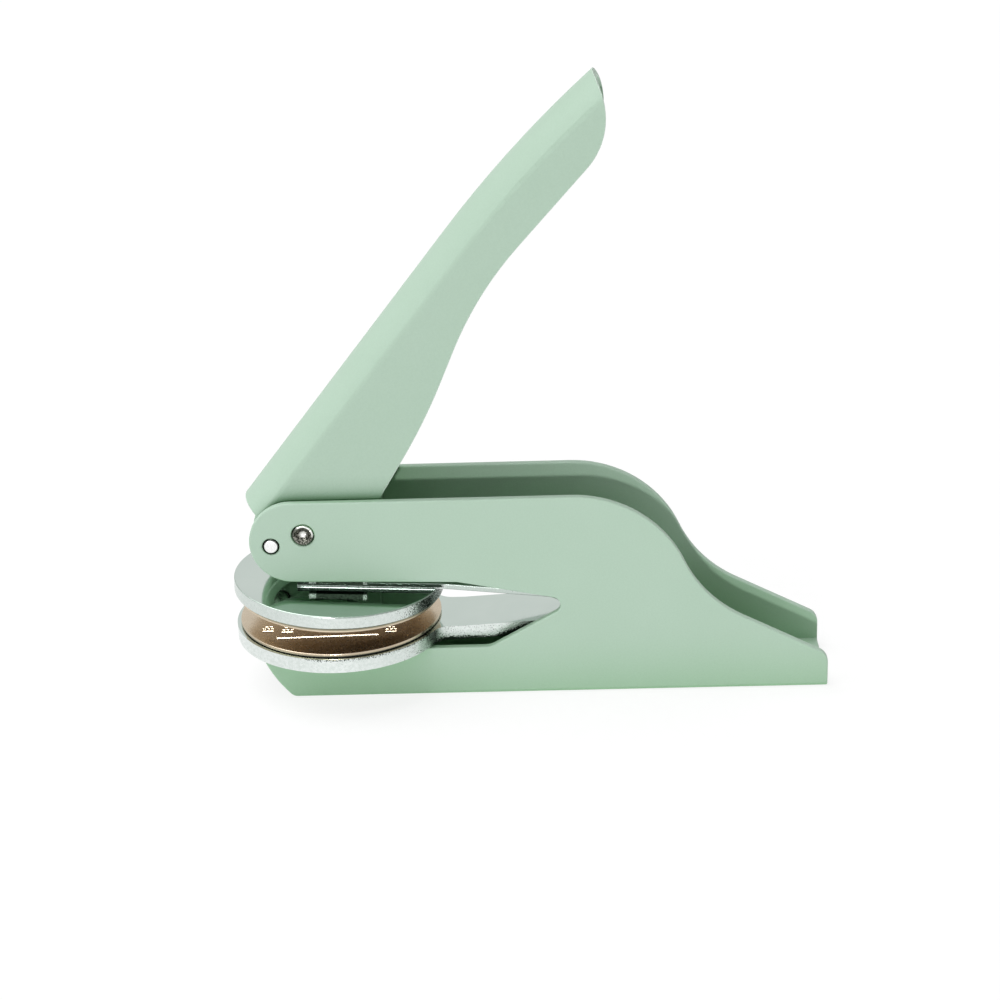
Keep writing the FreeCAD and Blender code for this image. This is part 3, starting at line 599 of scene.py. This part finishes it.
def skin(rings):
    """Points and faces of a closed skin over rings of equally many points."""
    count = len(rings[0])
    points = [point for ring in rings for point in ring]
    faces = []
    for row in range(len(rings) - 1):
        for step in range(count):
            first, after = row * count + step, row * count + (step + 1) % count
            faces.append((first, after, after + count, first + count))
    last = (len(rings) - 1) * count
    faces.append(tuple(reversed(range(count))))
    faces.append(tuple(range(last, last + count)))
    return points, faces


def circle(sides):
    """Angles of the corners round a circle."""
    return [2 * math.pi * step / sides for step in range(sides)]


def joined(shapes):
    """One list of points and faces from several."""
    points, faces = [], []
    for shape_points, shape_faces in shapes:
        shift = len(points)
        points += shape_points
        faces += [tuple(index + shift for index in face) for face in shape_faces]
    return points, faces


# Pivot rivet and stop pin

PIN_SIDES = 64
PIVOT = (-5.9, 37.0)
STOP = (-12.6, 34.6)

# Radius and Y from the near end to the middle
RIVET_HALF = [
    (0.15, -9.75), (0.5, -9.78), (0.9, -9.95), (1.35, -10.4), (1.55, -10.62),
    (1.7, -10.76), (1.85, -10.8), (2.0, -10.78), (2.12, -10.68), (2.16, -10.5),
    (2.16, -10.1), (2.3, -9.9), (2.3, -0.5),
]
PIN_HALF = [
    (0.1, -10.65), (1.12, -10.65), (1.26, -10.62), (1.34, -10.54), (1.37, -10.42),
    (1.38, -10.3), (1.5, -10.24), (1.74, -10.2), (1.74, -9.4), (1.37, -9.3), (1.37, -0.5),
]


def turned_pin(half, centre):
    """Skin of a pin along Y, both of whose halves have one profile."""
    profile = half + [(radius, -y) for radius, y in reversed(half)]
    x, z = centre
    return skin([
        [(x + radius * math.cos(a), y, z + radius * math.sin(a)) for a in circle(PIN_SIDES)]
        for radius, y in profile
    ])


points, faces = turned_pin(RIVET_HALF, PIVOT)
rivet = piece("pivot_rivet_turned", points, faces, rivet_finish("rivet_steel", PIVOT))
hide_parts("pivot_rivet")
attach(rivet, "frame")

points, faces = turned_pin(PIN_HALF, STOP)
pin = piece("stop_pin_turned", points, faces, pin_finish("pin_steel", STOP))
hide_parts("stop_pin")
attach(pin, "frame")

# Spring strip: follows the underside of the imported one, with eased bends

STRIP_PATH = [(-8.09, 24.20), (22.60, 22.754), (55.60, 19.169), (71.60, 19.169)]
STRIP_START, STRIP_END = STRIP_PATH[0][0], STRIP_PATH[-1][0]
STRIP_THICK = 1.15
STRIP_HALF = 7.25
STRIP_CORNER = 1.2
STRIP_CREASE = 40

# Radius of the long edges, and the width beside them that stays flat when they are shaded
STRIP_EDGE = 0.14
STRIP_FLAT = 0.2

# Half the length over which a bend is eased, and how many places are averaged in it
EASE = 1.5
EASE_PLACES = 9

# The first ring is drawn in, and the next stands this far behind it
FRONT_INSET = 0.1
FRONT_EDGE = 0.12

# How many rings stand along the strip, and how many round its tail corners, with the
# turns of the first and the last of those
STRIP_RINGS = 81
CORNER_RINGS = 8
CORNER_TURNS = (0.15, math.pi / 2 - 0.02)


def strip_level(x):
    """Height of the strip's underside, eased near its bends."""
    xs, zs = zip(*STRIP_PATH)
    nearby = [x + EASE * step for step in np.linspace(-1, 1, EASE_PLACES)]
    inside = [min(max(spot, xs[0]), xs[-1]) for spot in nearby]
    shift = sum(spot - x for spot in inside) / len(inside)
    climb = np.interp(inside[-1], xs, zs) - np.interp(inside[0], xs, zs)
    slope = climb / (inside[-1] - inside[0])
    return float(np.mean(np.interp(inside, xs, zs)) - shift * slope)


def strip_half_width(x):
    """Half the strip's width, less where its tail corners are rounded."""
    past = x - (STRIP_END - STRIP_CORNER)
    if past <= 0:
        return STRIP_HALF
    return STRIP_HALF - STRIP_CORNER + math.sqrt(max(STRIP_CORNER ** 2 - past ** 2, 0))


def strip_ring(x, inset=0.0):
    """Cross-section of the strip with softened edges."""
    low = strip_level(x) + inset
    high = strip_level(x) + STRIP_THICK - inset
    half = strip_half_width(x) - inset
    ring = []
    for side, level, turn in ((1, low, 0), (1, high, 1), (-1, high, 2), (-1, low, 3)):
        centre_y = side * (half - STRIP_EDGE)
        centre_z = level + STRIP_EDGE if level == low else level - STRIP_EDGE
        for step, past in ((0, -STRIP_FLAT), (0, 0), (1, 0), (2, 0), (3, 0), (3, STRIP_FLAT)):
            angle = -math.pi / 2 + (turn + step / 3) * math.pi / 2
            y = centre_y + STRIP_EDGE * math.cos(angle) - past * math.sin(angle)
            z = centre_z + STRIP_EDGE * math.sin(angle) + past * math.cos(angle)
            ring.append((x, y, z))
    return ring


corner_start = STRIP_END - STRIP_CORNER
stations = list(np.linspace(STRIP_START + FRONT_EDGE, corner_start, STRIP_RINGS))
for turn in np.linspace(*CORNER_TURNS, CORNER_RINGS):
    stations.append(STRIP_END - STRIP_CORNER * (1 - math.sin(turn)))
rings = [strip_ring(STRIP_START, FRONT_INSET), *(strip_ring(float(x)) for x in stations)]
points, faces = skin(rings)
strip = piece("spring_strip", points, faces, strip_finish, STRIP_CREASE)
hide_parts("spring_arm")
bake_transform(strip)

# Lower die: its face carries engraved lines and marks with sloping walls

DIE_TOP = 15.15
DIE_SIDES = 192
DIE_CREASE = 20

# Radius and height up the die's side and over its rounded edge
DIE_PROFILE = [
    (20.9, 14.45), (21.1, 14.48), (21.18, 14.55), (21.2, 14.65),
    (21.2, 14.93), (21.17, 15.02), (21.1, 15.1), (20.95, 15.15),
]

# Depth of the engraving, the run of its walls, and how far its cutters stand out
ENGRAVED = 0.42
WALL_RUN = 0.15
CUTTER_HEAD = 0.3

# The front half's line, as its middle and half sizes, and the places of its marks
LINE_TURN = math.radians(2.25)
LINE = (-1.9, -13.07, 10.4, 0.42)
MARKS = ((-14.6, -9.9), (-10.5, -10.5), (11.1, -11.2))
BAR_HALF = (1.05, 0.26)
DOT_HALF = (0.14, 0.14)
DOTS = [(-0.85, 1.15), (0.0, 1.2), (0.85, 1.15), (-0.45, 2.2), (0.45, 2.2)]


def turned_die():
    """Skin of the die about its own axis."""
    return skin([
        [(radius * math.cos(a), radius * math.sin(a), z) for a in circle(DIE_SIDES)]
        for radius, z in DIE_PROFILE
    ])


def pocket(x, y, half_x, half_y, turn):
    """Cutter with sloping walls, turned about its own middle."""
    rings = []
    for rise, grow in ((-ENGRAVED, 0.0), (0.0, WALL_RUN), (CUTTER_HEAD, WALL_RUN)):
        ring = []
        for side_x, side_y in ((-1, -1), (1, -1), (1, 1), (-1, 1)):
            across_x, across_y = side_x * (half_x + grow), side_y * (half_y + grow)
            ring.append((
                x + across_x * math.cos(turn) - across_y * math.sin(turn),
                y + across_x * math.sin(turn) + across_y * math.cos(turn),
                DIE_TOP + rise,
            ))
        rings.append(ring)
    return skin(rings)


def mark(x, y):
    """A bar with three dots and two more dots behind it."""
    dots = [pocket(x + right, y + back, *DOT_HALF, 0.0) for right, back in DOTS]
    return [pocket(x, y, *BAR_HALF, LINE_TURN), *dots]


def carved(thing, cutter):
    """Take one object out of another, which is left with the mesh that this gives."""
    modifier = thing.modifiers.new("engraving", "BOOLEAN")
    modifier.operation = "DIFFERENCE"
    modifier.solver = "EXACT"
    modifier.object = cutter
    layer = bpy.context.evaluated_depsgraph_get()
    mesh = bpy.data.meshes.new_from_object(thing.evaluated_get(layer))
    thing.modifiers.clear()
    thing.data = mesh
    mesh.shade_smooth()
    mesh.set_sharp_from_angle(angle=math.radians(DIE_CREASE))
    bpy.data.objects.remove(cutter)


points, faces = turned_die()
lower_die = piece("lower_die_engraved", points, faces, die_finish, DIE_CREASE)
front_half = [pocket(*LINE, LINE_TURN)]
for x, y in MARKS:
    front_half += mark(x, y)
back_half = [([(-x, -y, z) for x, y, z in shape], sides) for shape, sides in front_half]
points, faces = joined(front_half + back_half)
cutters = piece("engraving_cutters", points, faces, die_finish)
carved(lower_die, cutters)
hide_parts("lower_die")
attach(lower_die, "frame")


# Floor, light and camera


FLOOR_REACH = 6.0

# The floor as light falls on it, and as the camera and gloss see it: its greys and its glow
FLOOR_LIT = ((0.84, 0.84, 0.84), (0.86, 0.86, 0.86))
FLOOR_SHOWN = ((0.195, 0.195, 0.195), (0.205, 0.205, 0.205))
FLOOR_GLOW = (0.29, 0.82)

WORLD_LIT, WORLD_SHOWN = 0.22, 1.0
WHITE = (1, 1, 1, 1)

CAMERA_PLACE = (0.046039, -0.445097, 0.222609)
CAMERA_TURN, CAMERA_DIP, CAMERA_ROLL = 0.026228, 0.390225, -0.033809
LENS, SENSOR = 83.5, 36


def from_camera(tree):
    """1 for rays from the camera, from gloss or through glass, 0 for light that falls on things."""
    rays = add(tree, "LightPath").outputs
    either = reckon(tree, "MAXIMUM", rays["Is Camera Ray"], rays["Is Glossy Ray"])
    return reckon(tree, "MAXIMUM", either, rays["Is Transmission Ray"])


def floor():
    """Pale paper floor, which keeps the object's shadow."""
    mesh = bpy.data.meshes.new("floor")
    ends = ((-1, -1), (1, -1), (1, 1), (-1, 1))
    corners = [(FLOOR_REACH * x, FLOOR_REACH * y, 0) for x, y in ends]
    mesh.from_pydata(corners, [], [(0, 1, 2, 3)])
    thing = bpy.data.objects.new("floor", mesh)
    bpy.context.scene.collection.objects.link(thing)
    material = shader("floor_paper", Roughness=0.9, Specular_IOR_Level=0.0)
    tree = material.node_tree
    seen = from_camera(tree)
    grain = span(tree, noise(tree, 3 * MM), *SOFT)
    lit, shown = mixed(tree, grain, *FLOOR_LIT), mixed(tree, grain, *FLOOR_SHOWN)
    link(material, "Base Color", mixed(tree, seen, lit, shown))
    surface(material).inputs["Emission Color"].default_value = WHITE
    link(material, "Emission Strength", span(tree, seen, 0.0, 1.0, *FLOOR_GLOW))
    mesh.materials.append(material)


def sun(name, direction, level, softness):
    """Far lamp from a direction, which lights a matt white face turned to it to the level.

    The softness is the width of its disc in degrees.
    """
    data = bpy.data.lights.new(name, "SUN")
    data.energy = level * math.pi
    data.angle = math.radians(softness)
    lamp = bpy.data.objects.new(name, data)
    lamp.rotation_euler = Vector(direction).to_track_quat("Z", "Y").to_euler()
    bpy.context.scene.collection.objects.link(lamp)


def world():
    """Even light from all round, which shows as white."""
    made = bpy.data.worlds.new("studio")
    made.use_nodes = True
    tree = made.node_tree
    background = tree.nodes["Background"]
    background.inputs["Color"].default_value = WHITE
    strength = span(tree, from_camera(tree), 0.0, 1.0, WORLD_LIT, WORLD_SHOWN)
    tree.links.new(strength, background.inputs["Strength"])
    bpy.context.scene.world = made


def camera():
    """Camera that was worked out from the photograph."""
    data = bpy.data.cameras.new("camera")
    data.lens = LENS
    data.sensor_width = SENSOR
    eye = bpy.data.objects.new("camera", data)
    turn = Matrix.Rotation(CAMERA_TURN, 4, "Z")
    tip = Matrix.Rotation(math.pi / 2 - CAMERA_DIP, 4, "X")
    roll = Matrix.Rotation(CAMERA_ROLL, 4, "Z")
    eye.matrix_world = Matrix.Translation(CAMERA_PLACE) @ turn @ tip @ roll
    bpy.context.scene.collection.objects.link(eye)
    bpy.context.scene.camera = eye


floor()
sun("key", direction=(-0.10, -0.985, 0.16), level=0.30, softness=2.5)
sun("top", direction=(-0.42, 0.0, 0.90), level=0.80, softness=60)
world()
camera()
bpy.context.scene.view_settings.view_transform = "Standard"
